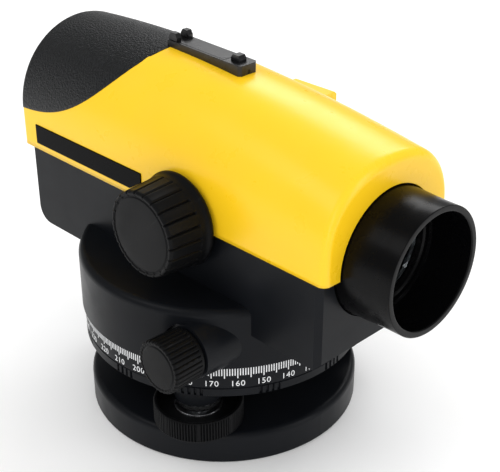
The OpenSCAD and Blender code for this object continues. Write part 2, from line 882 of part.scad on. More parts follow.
module pendulum_prism() {
  color([0.6, 0.75, 0.8, 0.5]) translate([comp_x - 6, 8, 86]) rotate([90, 0, 0]) linear_extrude(16)
    polygon([[0, 0], [12, 0], [12, 8], [6, 20], [0, 8]]);
}

// ---------- eyepiece ----------

module dioptre_ring() {
  front = cover_rear - 0.5;
  color([0.15, 0.16, 0.18]) difference() {
    on_sight(dioptre_rear) cylinder(r = dioptre_r, h = front - dioptre_rear);
    on_sight(mount_rear - gap) cylinder(r = mount_journal + run, h = far);
    on_sight(dioptre_rear - 1) cylinder(r = 9.6, h = far);
  }
}

module eyepiece_cell() {
  color([0.06, 0.06, 0.07]) difference() {
    union() {
      on_sight(-106) cylinder(r = eye_cell_r, h = 30);
      on_sight(-106.6) cylinder(r = 12, h = 1.2);
    }
    on_sight(-far) cylinder(r = eye_cell_bore, h = far);
  }
}

module eyepiece_lenses() {
  color([0.5, 0.6, 0.7, 0.4]) {
    on_sight(-103.5) cylinder(r = eye_cell_bore, h = 4);
    on_sight(-82) cylinder(r = eye_cell_bore, h = 4);
  }
}

module eyecup() {
  color([0.05, 0.05, 0.05]) on_sight(-111) difference() {
    cylinder(r1 = 13.4, r2 = 12, h = 4.4);
    translate([0, 0, -e]) cylinder(r1 = 11.6, r2 = 9, h = 4.4 + 2 * e);
  }
}

base_plate();
spring_plate();
spring_plate_screws();
foot_knob(foot_turns[0]);  // foot_knob_1
foot_knob(foot_turns[1]);  // foot_knob_2
foot_knob(foot_turns[2]);  // foot_knob_3
foot_spindle(foot_turns[0]);  // foot_spindle_1
foot_spindle(foot_turns[1]);  // foot_spindle_2
foot_spindle(foot_turns[2]);  // foot_spindle_3
tribrach_body();
foot_bushes();
axis_sleeve();
sleeve_screws();
friction_washer();
circle_ring();
worm_wheel();
lower_housing();
drum_housing();
upper_cover();
rear_hood();
name_plate();
sight_rail();
cover_screws();
vertical_axis();
axis_nut();
axis_screws();
objective_barrel();
objective_lens();
lens_retainer();
barrel_saddle();
telescope_tube();
compensator_frame();
fixed_prism();
eyepiece_mount();
reticle_ring();
reticle();
focus_bush();
tangent_bushes();
level_bracket();
level_case();
level_vial();
level_screws();
prism_hood();
bubble_prism();
tangent_shaft();
worm();
mirror([0, 1, 0]) tangent_knob();  // tangent_knob_right
tangent_knob();  // tangent_knob_left
focus_knob();
focus_pinion();
focus_cell();
focus_lens();
pendulum();
pendulum_prism();
dioptre_ring();
eyepiece_cell();
eyepiece_lenses();
eyecup();
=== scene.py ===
"""Looks of an automatic level. Sizes are in millimetres, in the part's own frame, and MM turns them into metres."""
import json
from math import asin, cos, pi, radians, sin

import bmesh
import bpy
from mathutils import Matrix, Vector


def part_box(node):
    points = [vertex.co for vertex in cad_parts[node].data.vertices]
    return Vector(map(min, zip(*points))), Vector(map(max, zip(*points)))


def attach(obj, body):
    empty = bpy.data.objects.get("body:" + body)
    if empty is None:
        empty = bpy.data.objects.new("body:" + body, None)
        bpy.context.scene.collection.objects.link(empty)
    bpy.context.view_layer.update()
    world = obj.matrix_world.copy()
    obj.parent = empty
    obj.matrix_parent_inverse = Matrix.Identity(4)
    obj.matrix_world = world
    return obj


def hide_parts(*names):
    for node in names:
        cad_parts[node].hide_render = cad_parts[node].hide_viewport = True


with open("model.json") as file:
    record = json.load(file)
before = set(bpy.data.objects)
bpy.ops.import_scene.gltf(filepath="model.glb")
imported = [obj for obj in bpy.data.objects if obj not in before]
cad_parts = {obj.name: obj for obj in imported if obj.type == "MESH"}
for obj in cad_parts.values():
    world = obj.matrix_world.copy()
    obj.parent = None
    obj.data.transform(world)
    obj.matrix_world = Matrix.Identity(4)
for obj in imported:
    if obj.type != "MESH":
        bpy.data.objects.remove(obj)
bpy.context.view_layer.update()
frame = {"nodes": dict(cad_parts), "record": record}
MM = 0.001


def box_mm(node):
    """Lowest and highest corner of a CAD node, in millimetres."""
    low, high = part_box(node)
    return Vector(low) / MM, Vector(high) / MM


# ---------- sizes, from the frame and the design ----------

ring_low, ring_high = box_mm("circle_ring")
cover_low, cover_high = box_mm("upper_cover")
barrel_low, barrel_high = box_mm("objective_barrel")
focus_low, focus_high = box_mm("focus_knob")
tangent_low, tangent_high = box_mm("tangent_knob_left")
dioptre_low, dioptre_high = box_mm("dioptre_ring")
cup_low, cup_high = box_mm("eyecup")
plate_low, plate_high = box_mm("name_plate")
case_low, case_high = box_mm("level_case")
vial_low, vial_high = box_mm("level_vial")
hood_low, hood_high = box_mm("prism_hood")
retainer_low, retainer_high = box_mm("lens_retainer")

SIGHT_Z = (retainer_low.z + retainer_high.z) / 2
RING_R = ring_high.x
SPLIT_Z = cover_low.z
COVER_HALF = cover_high.y
COVER_REAR = -88.4
COVER_FRONT = cover_high.x
FOOT_REACH = 46.2
FOOT_ANGLE = -56


# ---------- mesh helpers ----------

UPRIGHT = Matrix.Identity(4)


def on_sight(x):
    """Local Z runs along the line of sight from x."""
    return Matrix.Translation((x, 0, SIGHT_Z)) @ Matrix.Rotation(pi / 2, 4, "Y")


def across(x, y, z, side):
    """Local Z runs across the instrument, to the left for side 1 and to the right for side -1."""
    return Matrix.Translation((x, y, z)) @ Matrix.Rotation(-side * pi / 2, 4, "X")


def add_piece(name, verts, faces, material, body, nodes=(), sharp=32):
    """Adds a mesh given in millimetres as a piece of the object."""
    mesh = bpy.data.meshes.new(name)
    mesh.from_pydata([Vector(v) * MM for v in verts], [], faces)
    work = bmesh.new()
    work.from_mesh(mesh)
    bmesh.ops.remove_doubles(work, verts=work.verts, dist=1e-7)
    bmesh.ops.recalc_face_normals(work, faces=work.faces)
    work.to_mesh(mesh)
    work.free()
    for face in mesh.polygons:
        face.use_smooth = True
    mesh.set_sharp_from_angle(angle=radians(sharp))
    mesh.materials.append(material)
    piece = bpy.data.objects.new(name, mesh)
    bpy.context.scene.collection.objects.link(piece)
    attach(piece, body)
    if nodes:
        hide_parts(*nodes)
    return piece


def bevel(piece, width, segments=3, angle=30):
    """Rounds a piece's sharp edges."""
    rounding = piece.modifiers.new("rounding", "BEVEL")
    rounding.width = width * MM
    rounding.segments = segments
    rounding.limit_method = "ANGLE"
    rounding.angle_limit = radians(angle)
    rounding.harden_normals = True
    return piece


def rounded(points, steps=4):
    """A profile whose corners are rounded. A point is (radius, height, fillet, depth), the last two optional."""
    full = [tuple(p) + (0.0,) * (4 - len(p)) for p in points]
    out = []
    for i, (r, h, fillet, depth) in enumerate(full):
        if fillet == 0 or i in (0, len(full) - 1):
            out.append((r, h, depth))
            continue
        here = Vector((r, h))
        back = Vector(full[i - 1][:2]) - here
        ahead = Vector(full[i + 1][:2]) - here
        reach = min(fillet, back.length * 0.48, ahead.length * 0.48)
        start, end = here + back.normalized() * reach, here + ahead.normalized() * reach
        for k in range(steps + 1):
            t = k / steps
            p = start * (1 - t) ** 2 + here * (2 * t * (1 - t)) + end * t ** 2
            out.append((p.x, p.y, depth))
    return out


def lathe(profile, place, steps=144, wave=None, closed=False):
    """Turns a profile of (radius, height, depth) about local Z. wave(angle) is how far in the surface lies there,
    as a share of the point's depth. Gives vertices and faces."""
    verts, faces, rows = [], [], []
    for r, h, depth in profile:
        if r == 0:
            rows.append([len(verts)])
            verts.append(place @ Vector((0, 0, h)))
            continue
        row = []
        for i in range(steps):
            a = 2 * pi * i / steps
            reach = r - (depth * wave(a) if wave and depth else 0)
            row.append(len(verts))
            verts.append(place @ Vector((reach * cos(a), reach * sin(a), h)))
        rows.append(row)
    pairs = list(zip(rows, rows[1:]))
    if closed:
        pairs.append((rows[-1], rows[0]))
    for low, high in pairs:
        for i in range(steps):
            j = (i + 1) % steps
            if len(low) == 1:
                faces.append((low[0], high[j], high[i]))
            elif len(high) == 1:
                faces.append((low[i], low[j], high[0]))
            else:
                faces.append((low[i], low[j], high[j], high[i]))
    return verts, faces


def prism(outline, low, high, place=UPRIGHT):
    """A closed prism over a 2-D outline, between two heights. Gives vertices and faces."""
    n = len(outline)
    verts = [place @ Vector((x, y, h)) for h in (low, high) for x, y in outline]
    faces = [(i, (i + 1) % n, n + (i + 1) % n, n + i) for i in range(n)]
    faces += [tuple(reversed(range(n))), tuple(range(n, 2 * n))]
    return verts, faces


def joined(*parts):
    """Several (vertices, faces) pairs as one."""
    verts, faces = [], []
    for some_verts, some_faces in parts:
        base = len(verts)
        verts += some_verts
        faces += [tuple(base + i for i in face) for face in some_faces]
    return verts, faces


def grid(rows, wrap=False):
    """Vertices and faces of a surface through rows of points."""
    n = len(rows[0])
    verts = [p for row in rows for p in row]
    last = n if wrap else n - 1
    faces = [
        (i * n + j, i * n + (j + 1) % n, (i + 1) * n + (j + 1) % n, (i + 1) * n + j)
        for i in range(len(rows) - 1)
        for j in range(last)
    ]
    return verts, faces


# ---------- materials ----------


class Look:
    """A node material around one Principled shader, with its texture fixed to the piece."""

    def __init__(self, name, metal=0.0, coat=0.0, coat_rough=0.1, specular=0.5):
        self.material = bpy.data.materials.new(name)
        self.material.use_nodes = True
        self.nodes = self.material.node_tree.nodes
        self.links = self.material.node_tree.links
        self.shader = self.nodes["Principled BSDF"]
        self.set("Metallic", metal)
        self.set("Coat Weight", coat)
        self.set("Coat Roughness", coat_rough)
        self.set("Specular IOR Level", specular)
        self.place = self.nodes.new("ShaderNodeTexCoord").outputs["Object"]

    def set(self, socket, value):
        self.shader.inputs[socket].default_value = value

    def node(self, kind, **inputs):
        made = self.nodes.new(kind)
        for socket, value in inputs.items():
            key = socket.replace("_", " ").title()
            if isinstance(value, bpy.types.NodeSocket):
                self.links.new(value, made.inputs[key])
            else:
                made.inputs[key].default_value = value
        return made

    def noise(self, scale, detail=4.0, rough=0.55, place=None):
        return self.node("ShaderNodeTexNoise", vector=place or self.place, scale=scale, detail=detail,
                         roughness=rough).outputs[0]

    def scaled(self, scales):
        """Texture places scaled along each axis, for turned metal."""
        made = self.nodes.new("ShaderNodeVectorMath")
        made.operation = "MULTIPLY"
        self.links.new(self.place, made.inputs[0])
        made.inputs[1].default_value = scales
        return made.outputs[0]

    def ramp(self, value, low, high, start=0.3, end=0.7):
        """Runs from low to high, numbers or colours, as value goes from start to end."""
        made = self.nodes.new("ShaderNodeMapRange" if isinstance(low, float) else "ShaderNodeValToRGB")
        if isinstance(low, float):
            self.links.new(value, made.inputs["Value"])
            for socket, number in zip(("From Min", "From Max", "To Min", "To Max"), (start, end, low, high)):
                made.inputs[socket].default_value = number
            return made.outputs[0]
        self.links.new(value, made.inputs["Fac"])
        for stop, where, colour in zip(made.color_ramp.elements, (start, end), (low, high)):
            stop.position = where
            stop.color = (*colour, 1.0)
        return made.outputs["Color"]

    def mix(self, amount, under, over):
        made = self.nodes.new("ShaderNodeMix")
        made.data_type = "RGBA"
        self.links.new(amount, made.inputs["Factor"])
        for socket, value in ((6, under), (7, over)):
            if isinstance(value, bpy.types.NodeSocket):
                self.links.new(value, made.inputs[socket])
            else:
                made.inputs[socket].default_value = (*value, 1.0)
        return made.outputs[2]

    def bump(self, height, distance, strength=1.0):
        """Adds a relief, over any that is there already. distance is in millimetres."""
        made = self.node("ShaderNodeBump", height=height, distance=distance * MM, strength=strength)
        before = self.shader.inputs["Normal"].links
        if before:
            self.links.new(before[0].from_socket, made.inputs["Normal"])
        self.links.new(made.outputs[0], self.shader.inputs["Normal"])

    def colour(self, socket):
        self.links.new(socket, self.shader.inputs["Base Color"])

    def roughness(self, socket):
        self.links.new(socket, self.shader.inputs["Roughness"])


def shade(colour, factor):
    return tuple(min(1.0, c * factor) for c in colour)


def painted(name, colour, rough, vary=0.08, relief=0.012, grain=1800.0, coat=0.0, worn=None, specular=0.5):
    """Paint or moulded plastic: soft patches of tone and gloss, a fine orange peel and paler edges where worn."""
    look = Look(name, coat=coat, specular=specular)
    patches = look.noise(38.0, detail=5.0)
    tone = look.ramp(patches, shade(colour, 1 - vary), shade(colour, 1 + vary))
    if worn:
        edge = look.nodes.new("ShaderNodeNewGeometry").outputs["Pointiness"]
        edge = look.ramp(edge, 0.0, 0.55, 0.53, 0.6)
        broken = look.node("ShaderNodeMath", value=edge)
        broken.operation = "MULTIPLY"
        look.links.new(look.ramp(look.noise(420.0, detail=6.0), 0.0, 1.0, 0.45, 0.62), broken.inputs[1])
        tone = look.mix(broken.outputs[0], tone, worn)
    look.colour(tone)
    look.roughness(look.ramp(look.noise(90.0, detail=6.0), rough * 0.86, rough * 1.16))
    look.bump(look.noise(grain, detail=3.0), relief)
    return look.material


def stippled(name, colour, rough):
    """Moulded plastic with a coarse spark-eroded grain. Some grains are paler in the colour: painted glints,
    standing in for light caught on the grain.
    """
    look = Look(name, specular=0.34)
    grain = look.noise(1150.0, detail=2.0, rough=0.6)
    fine = look.noise(2600.0, detail=2.0, rough=0.6)
    # Paler grains in this colour are painted glints of light on the grain; the grain's real relief comes from the
    # bumps below.
    look.colour(look.ramp(grain, shade(colour, 0.5), shade(colour, 1.7), 0.4, 0.64))
    look.roughness(look.ramp(fine, rough * 0.75, rough * 1.2))
    look.bump(grain, 0.75)
    look.bump(fine, 0.2)
    return look.material


def metal(name, colour, rough, turned=(1.0, 1.0, 9.0)):
    """Bare metal with fine tool marks and a little tarnish."""
    look = Look(name, metal=1.0)
    marks = look.noise(700.0, detail=5.0, place=look.scaled(turned))
    tarnish = look.noise(60.0, detail=6.0)
    look.colour(look.ramp(tarnish, shade(colour, 0.78), shade(colour, 1.06)))
    look.roughness(look.ramp(marks, rough * 0.7, rough * 1.35))
    look.bump(marks, 0.008)
    return look.material


def glass(name, colour, rough=0.01, ior=1.5, film=0.0):
    """Coated optical glass, with faint dust in its gloss."""
    look = Look(name, coat=film, coat_rough=0.02)
    look.set("Transmission Weight", 1.0)
    look.set("IOR", ior)
    dust = look.noise(500.0, detail=6.0)
    look.colour(look.ramp(look.noise(45.0), shade(colour, 0.95), colour))
    look.roughness(look.ramp(dust, rough, rough + 0.03, 0.5, 0.75))
    look.bump(dust, 0.001)
    return look.material


MATERIALS = {
    "black_paint": painted("black_paint", (0.0052, 0.006, 0.0078), 0.36, vary=0.12, specular=0.13),
    "yellow_paint": painted("yellow_paint", (0.98, 0.6, 0.012), 0.3, vary=0.012, relief=0.002, grain=900.0,
                            specular=0.4),
    "black_plastic": stippled("black_plastic", (0.0052, 0.006, 0.007), 0.38),
    "black_gloss": painted("black_gloss", (0.0012, 0.0012, 0.0014), 0.25, relief=0.003, specular=0.04),
    "black_rail": painted("black_rail", (0.004, 0.004, 0.0046), 0.3, relief=0.006, specular=0.5,
                          worn=(0.03, 0.03, 0.032)),
    "black_knob": painted("black_knob", (0.004, 0.0042, 0.0047), 0.4, vary=0.14, relief=0.012, specular=0.1,
                          worn=(0.024, 0.024, 0.026)),
    "black_barrel": painted("black_barrel", (0.0016, 0.0016, 0.0019), 0.27, vary=0.15, relief=0.004, specular=0.12,
                            worn=(0.012, 0.012, 0.013)),
    "black_rubber": painted("black_rubber", (0.006, 0.006, 0.006), 0.7, relief=0.04, grain=1200.0, specular=0.3),
    "marking_white": painted("marking_white", (0.8, 0.81, 0.82), 0.55, vary=0.05, relief=0.01),
    "steel": metal("steel", (0.56, 0.57, 0.59), 0.3),
    "aluminium": metal("aluminium", (0.5, 0.51, 0.53), 0.4),
    "brass": metal("brass", (0.68, 0.5, 0.22), 0.34),
    "glass": glass("glass", (0.86, 0.93, 0.98)),
    "vial_glass": glass("vial_glass", (0.72, 0.95, 0.35), rough=0.03),
}


def finish_cad_nodes():
    """Gives each CAD node that stays in view its slot's material."""
    for row in frame["record"]["subparts"]:
        node = frame["nodes"][row["node"]]
        node.data.materials.clear()
        node.data.materials.append(MATERIALS[row["material_slot"]])


# ---------- foot screws ----------

FOOT_KNOB_R = 18.0


def grouped_ribs(count, groups, plain, sharpness=3.0):
    """Narrow grooves round a knob, in groups with plain stretches between."""

    def wave(a):
        turn = a / (2 * pi)
        if (turn * groups) % 1 < plain:
            return 0.35 * sin(pi * (turn * groups) % 1 / plain) ** 2
        return (0.5 - 0.5 * cos(a * count)) ** sharpness

    return wave


def foot_knobs():
    low, high = box_mm("foot_knob_1")
    wave = grouped_ribs(96, 8, 0.12)
    for number, turn in enumerate((0, 120, 240), 1):
        angle = radians(FOOT_ANGLE + turn)
        place = Matrix.Translation((FOOT_REACH * cos(angle), FOOT_REACH * sin(angle), 0))
        deep = 0.55
        rim = FOOT_KNOB_R - 1.6
        floor_z = high.z - 2.8
        profile = rounded([
            (3.05, low.z), (FOOT_KNOB_R - 1.2, low.z, 0.4), (FOOT_KNOB_R, low.z + 1.0, 0.5, 0.0),
            (FOOT_KNOB_R, low.z + 1.3, 0, deep), (FOOT_KNOB_R, high.z - 1.0, 0.3, deep),
            (FOOT_KNOB_R - 0.4, high.z, 0.3, deep * 0.4), (rim, high.z, 0.4), (rim - 0.3, floor_z, 0.5),
            (3.05, floor_z),
        ])
        verts, faces = lathe(profile, place, steps=768, wave=wave, closed=True)
        add_piece(f"foot_knob_detail_{number}", verts, faces, MATERIALS["black_knob"], f"foot_screw_{number}",
                  [f"foot_knob_{number}"])
        collar = rounded([
            (6.6, floor_z - 0.1), (9.6, floor_z - 0.1), (9.6, floor_z + 0.6, 0.35), (8.7, floor_z + 0.6, 0.1),
            (6.6, floor_z + 0.25),
        ])
        verts, faces = lathe(collar, place, steps=96, closed=True)
        add_piece(f"foot_collar_{number}", verts, faces, MATERIALS["steel"], f"foot_screw_{number}",
                  [f"foot_knob_{number}"])


# ---------- graduated ring ----------

TICK_TOP = 0.35          # below the ring's upper edge
TICK_SHORT = 3.2
TICK_LONG = 4.4
TICK_WIDTH = 0.42
NUMBER_HEIGHT = 2.6
NUMBER_Z = 7.3           # below the ring's upper edge
NUMBER_THICK = 0.06
MARK_PROUD = 0.04        # how far the marks stand out of the ring
BAND_H = 4.1             # ribbed band at the ring's foot
ZERO_ANGLE = 122         # direction of the ring's zero


def ring_direction(degree):
    return radians(ZERO_ANGLE - degree)


def graduated_ring():
    low, high = ring_low.z, ring_high.z
    band = low + BAND_H
    inner = RING_R - 4
    groups, ribs_in_group, rib_angle, first = 12, 4, radians(2.4), radians(-31)

    def wave(a):
        along = (a - first) % (2 * pi / groups)
        if along > ribs_in_group * rib_angle:
            return 0.0
        return 1.0 if along % rib_angle > rib_angle * 0.62 else 0.0

    profile = rounded([
        (inner, low), (RING_R - 0.6, low, 0.3), (RING_R, low + 0.5, 0.3, 0.0), (RING_R, low + 0.6, 0, 0.7),
        (RING_R, band - 0.45, 0, 0.7), (RING_R - 0.05, band - 0.4, 0, 0.0), (RING_R - 0.45, band - 0.1, 0.1),
        (RING_R, band + 0.25, 0.2), (RING_R, high, 0.25), (inner, high), (inner, 44), (23, 44, 0.3),
        (23, 41, 0.3), (inner, 41),
    ])
    verts, faces = lathe(profile, UPRIGHT, steps=1440, wave=wave, closed=True)
    add_piece("graduated_ring", verts, faces, MATERIALS["black_paint"], "circle", ["circle_ring"])


def ring_marks():
    top = ring_high.z - TICK_TOP
    parts = []
    for degree in range(360):
        length = TICK_LONG if degree % 5 == 0 else TICK_SHORT
        a = ring_direction(degree)
        half = TICK_WIDTH / 2 / RING_R
        corners = [(a - half, top - length), (a + half, top - length), (a + half, top), (a - half, top)]
        ring = [(r * cos(t), r * sin(t), z) for r in (RING_R - 0.1, RING_R + MARK_PROUD) for t, z in corners]
        faces = [(0, 3, 2, 1), (4, 5, 6, 7)] + [(i, (i + 1) % 4, 4 + (i + 1) % 4, 4 + i) for i in range(4)]
        parts.append((ring, faces))
    verts, faces = joined(*parts)
    add_piece("ring_graduations", verts, faces, MATERIALS["marking_white"], "circle")


def ring_numbers():
    """The ring's numbers, every ten degrees, bent round it."""
    parts = []
    for degree in range(0, 360, 10):
        curve = bpy.data.curves.new("number", "FONT")
        curve.body = str(degree)
        curve.size = NUMBER_HEIGHT / 0.72
        curve.align_x = "CENTER"
        curve.align_y = "CENTER"
        curve.space_character = 1.1
        curve.extrude = NUMBER_THICK
        curve.resolution_u = 3
        holder = bpy.data.objects.new("number", curve)
        flat = bpy.data.meshes.new_from_object(holder)
        centre = ring_direction(degree)
        verts = []
        for v in flat.vertices:
            a = centre + v.co.x / RING_R
            r = RING_R + MARK_PROUD - NUMBER_THICK + v.co.z
            verts.append((r * cos(a), r * sin(a), ring_high.z - NUMBER_Z + v.co.y))
        parts.append((verts, [tuple(face.vertices) for face in flat.polygons]))
        bpy.data.objects.remove(holder)
        bpy.data.curves.remove(curve)
        bpy.data.meshes.remove(flat)
    verts, faces = joined(*parts)
    add_piece("ring_numbers", verts, faces, MATERIALS["marking_white"], "circle")


# ---------- upper cover and rear hood ----------

ROOF_TOP = 148.6
ROOF_CREST = -44
ROOF_BEND_R = 588
SPRING_REAR = 113
SPRING_FRONT = 105
HOOD_START = -90
HOOD_LEN = 67.5
TUBE_HOLE_R = 25.6
TUBE_HOLE_START = -0.0586    # angle below the line of sight at which the hole meets the cover's foot
COVER_WALL = 1.8
COVER_FRONT_ROUND = 3.2
COVER_REAR_ROUND = 2.0


def along(x):
    return (x - COVER_REAR) / (COVER_FRONT - COVER_REAR)


def roof_z(x):
    return ROOF_TOP - (x - ROOF_CREST) ** 2 / (2 * ROOF_BEND_R)


def spring_z(x):
    return SPRING_REAR + (SPRING_FRONT - SPRING_REAR) * along(x)


def bend(value, power):
    return (1 if value > 0 else -1 if value < 0 else 0) * abs(value) ** (2 / power)


def arch_point(x, a, inset):
    """A point of the cover's outline at x. a runs from 0 on the left to pi on the right."""
    power = 2 + 0.3 * along(x)
    foot = spring_z(x)
    rise = roof_z(x) - inset - foot
    return Vector((x, (COVER_HALF - inset) * bend(cos(a), power), foot + rise * bend(sin(a), power)))


def arch(x, inset, steps=96, walls=6):
    """The cover's outline at x, from the left-hand foot to the right-hand one."""
    half, foot = COVER_HALF - inset, spring_z(x)
    left = [Vector((x, half, SPLIT_Z + (foot - SPLIT_Z) * i / walls)) for i in range(walls)]
    right = [Vector((x, -half, foot + (SPLIT_Z - foot) * (i + 1) / walls)) for i in range(walls)]
    crown = [arch_point(x, pi * i / steps, inset) for i in range(steps + 1)]
    return left + crown + right


def stations(front_round, rear_round, count=44):
    """Places along the cover as (x, inset), with rounded ends."""
    rear = [(COVER_REAR + rear_round * (1 - sin(a)), rear_round * (1 - cos(a)))
            for a in (radians(90 - 15 * i) for i in range(7))]
    front = [(COVER_FRONT - front_round * (1 - sin(a)), front_round * (1 - cos(a)))
             for a in (radians(10 * i) for i in range(10))]
    first, last = rear[-1][0], front[0][0]
    middle = [(first + (last - first) * i / count, 0.0) for i in range(1, count)]
    return rear + middle + front


def upper_cover():
    rows = [arch(x, inset) for x, inset in stations(COVER_FRONT_ROUND, COVER_REAR_ROUND)]
    n = len(rows[0])
    # The front wall runs from the outline to the hole round the barrel, and the hole has a short collar.
    start = TUBE_HOLE_START
    hole = [Vector((COVER_FRONT, TUBE_HOLE_R * cos(a), SIGHT_Z + TUBE_HOLE_R * sin(a)))
            for a in (start + (pi - 2 * start) * i / (n - 1) for i in range(n))]
    middle = [[Vector((COVER_FRONT, *(outer.yz * (1 - t) + inner.yz * t))) for outer, inner in zip(rows[-1], hole)]
              for t in (0.04, 0.5, 0.96)]
    collar = [Vector((COVER_FRONT - 3.0, p.y, p.z)) for p in hole]
    lip = [Vector((COVER_FRONT - 0.35, *((Vector((p.y, p.z - SIGHT_Z)) * 0.992) + Vector((0, SIGHT_Z)))))
           for p in hole]
    rear_centre = Vector((COVER_REAR, 0, SPLIT_Z + 12))
    rear = [[p.lerp(Vector((COVER_REAR, p.y * 0.3, max(SPLIT_Z, rear_centre.z + (p.z - rear_centre.z) * 0.3))), t)
             for p in rows[0]] for t in (1.0, 0.5, 0.04)]
    verts, faces = grid(rear + rows + middle + [hole, lip, collar])
    faces.append(tuple(range(n)))
    piece = add_piece("cover_shell", verts, faces, MATERIALS["yellow_paint"], "alidade",
                      ["upper_cover"], sharp=40)
    wall = piece.modifiers.new("wall", "SOLIDIFY")
    wall.thickness = COVER_WALL * MM
    wall.offset = -1
    return piece


def hood_edge(x):
    t = max(0.0, (x - HOOD_START) / HOOD_LEN)
    return 113 + 3 * t + 33 * t ** 2.5


def hood_row(x, inset, proud, steps=72):
    """The part of the outline above the hood's edge at x, pushed out a little."""
    power = 2 + 0.3 * along(x)
    foot = spring_z(x)
    rise = roof_z(x) - inset - foot
    share = min(0.999, max(0.0, (hood_edge(x) - foot) / rise))
    start = asin(share ** (power / 2))
    row = []
    for i in range(steps + 1):
        a = start + (pi - 2 * start) * i / steps
        p = arch_point(x, a, inset)
        out = Vector((0, p.y, (p.z - foot) * COVER_HALF / rise)).normalized()
        row.append(p + out * proud)
    return row


def rear_hood():
    proud = 0.18
    end = HOOD_START + HOOD_LEN
    places = [(x, inset) for x, inset in stations(COVER_FRONT_ROUND, COVER_REAR_ROUND, 60) if x < end - 2]
    tip = [(end - 2 + 1.9 * i / 6, 0.0) for i in range(7)]
    rows = [hood_row(x, inset, proud) for x, inset in places + tip]
    rear = [Vector((COVER_REAR - proud, p.y, p.z)) for p in rows[0]]
    centre_z = hood_edge(COVER_REAR)
    cap = [[Vector((COVER_REAR - proud, p.y * t, centre_z + (p.z - centre_z) * t)) for p in rows[0]]
           for t in (0.02, 0.3, 0.6, 0.9)]
    verts, faces = grid(cap + [rear] + rows)
    piece = add_piece("hood_shell", verts, faces, MATERIALS["black_plastic"], "alidade",
                      ["rear_hood"], sharp=40)
    wall = piece.modifiers.new("wall", "SOLIDIFY")
    wall.thickness = 0.9 * MM
    wall.offset = -1
    return piece


def name_plate():
    slant = 7.2
    outline = [(plate_low.x, plate_low.z), (plate_high.x - slant, plate_low.z), (plate_high.x, plate_low.z + 4.6),
               (plate_high.x, plate_high.z), (plate_low.x, plate_high.z)]
    # Local X is along the line of sight and local Y is up.
    place = Matrix.Rotation(pi / 2, 4, "X")
    verts, faces = prism(outline, COVER_HALF - 0.4, -plate_low.y, place)
    piece = add_piece("blank_plate", verts, faces, MATERIALS["black_gloss"], "alidade", ["name_plate"])
    return bevel(piece, 0.25)


# ---------- sight rail ----------


def sight_rail():
    length, half, height = 40.5, 4.75, 4.2
    rear_x, foot_z, fall = -25, 146.5, radians(1.6)
    place = Matrix.Translation((rear_x, 0, foot_z)) @ Matrix.Rotation(fall, 4, "Y")
    side_on = place @ Matrix.Rotation(pi / 2, 4, "X")

    def block(x0, x1, y, wide, tall, cut):
        outline = [(x0, height - 0.2), (x1, height - 0.2), (x1, height + tall * 0.45), (x1 - cut, height + tall),
                   (x0 + cut, height + tall), (x0, height + tall * 0.45)]
        return prism(outline, -y - wide / 2, -y + wide / 2, side_on)

    nose = 1.2
    body = prism([(0, -half), (length - nose, -half), (length, -half + nose), (length, half - nose),
                  (length - nose, half), (0, half)], 0, height, place)
    tongue = prism([(length - 0.5, -0.7), (length, -0.7), (length, 0.7), (length - 0.5, 0.7)],
                   0.2, height * 0.5, place)
    groove = prism([(5.5, -half + 0.9), (31, -half + 0.9), (31, half - 0.9), (5.5, half - 0.9)],
                   height - 0.1, height + 0.12, place)
    ears = [block(0.3, 4.9, side * 3.0, 2.5, 3.1, 1.0) for side in (-1, 1)]
    blade = block(32.6, 37.4, 0, 3.6, 2.4, 1.0)
    verts, faces = joined(body, tongue, groove, *ears, blade)
    piece = add_piece("sight_rail_detail", verts, faces, MATERIALS["black_rail"], "alidade",
                      ["sight_rail"])
    return bevel(piece, 0.14, 2)


# ---------- knobs ----------


def scallops(count, sharpness=10.0, bow=0.25):
    """Shallow hollows round a knob, with a narrow groove at every ridge line."""

    def wave(a):
        phase = 0.5 + 0.5 * cos(a * count)
        return phase ** sharpness + bow * (1 - phase)

    return wave


def focus_knob():
    outer = -focus_low.y
    inner = -focus_high.y
    r = (focus_high.z - focus_low.z) / 2
    face_r = r - 1.9
    centre = (focus_low + focus_high) / 2
    deep = 0.8
    profile = rounded([
        (0, inner), (r - 1.0, inner), (r, inner + 0.9, 0.6), (r, inner + 2.0, 0.5), (r - 0.75, inner + 3.4, 0.8),
        (r - 0.95, inner + 5.0, 0.4, 0.0), (r - 1.0, inner + 6.2, 0.3, deep), (face_r + 0.1, outer - 2.2, 0.3, deep),
        (face_r, outer - 1.0, 0.4, deep), (face_r - 0.5, outer - 0.1, 0.3, deep),
        (face_r - 1.3, outer - 0.1, 0.2, deep), (face_r - 1.7, outer - 0.45, 0.2), (face_r - 2.3, outer - 0.4, 0.2), (face_r - 2.7, outer - 0.1, 0.2),
        (r * 0.5, outer), (0, outer),
    ])
    verts, faces = lathe(profile, across(centre.x, 0, centre.z, -1), steps=660, wave=scallops(22, 16.0, 0.22))
    add_piece("focus_knob_detail", verts, faces, MATERIALS["black_knob"], "focus", ["focus_knob"])


def tangent_knobs():
    inner, outer = tangent_low.y, tangent_high.y
    r = (tangent_high.x - tangent_low.x) / 2
    centre = (tangent_low + tangent_high) / 2
    deep = 0.5
    profile = rounded([
        (0, inner), (r - 1.2, inner, 0.2), (r - 1.2, inner + 0.7, 0.2), (r - 0.4, inner + 0.8, 0.3),
        (r - 0.3, inner + 1.8, 0.3, 0.0), (r - 0.3, inner + 2.2, 0.1, deep), (r - 0.05, outer - 1.4, 0.2, deep),
        (r - 0.1, outer - 0.8, 0.3, deep), (r - 0.5, outer - 0.1, 0.2, deep), (r - 1.2, outer - 0.1, 0.2, deep),
        (r - 1.6, outer - 0.35, 0.2), (r - 2.1, outer - 0.3, 0.2), (r - 2.5, outer, 0.2), (0, outer),
    ])
    for side, node in ((1, "tangent_knob_left"), (-1, "tangent_knob_right")):
        verts, faces = lathe(profile, across(centre.x, 0, centre.z, side), steps=480, wave=scallops(32, 4.0, 0.08))
        add_piece(node + "_detail", verts, faces, MATERIALS["black_knob"], "tangent", [node])


# ---------- objective ----------


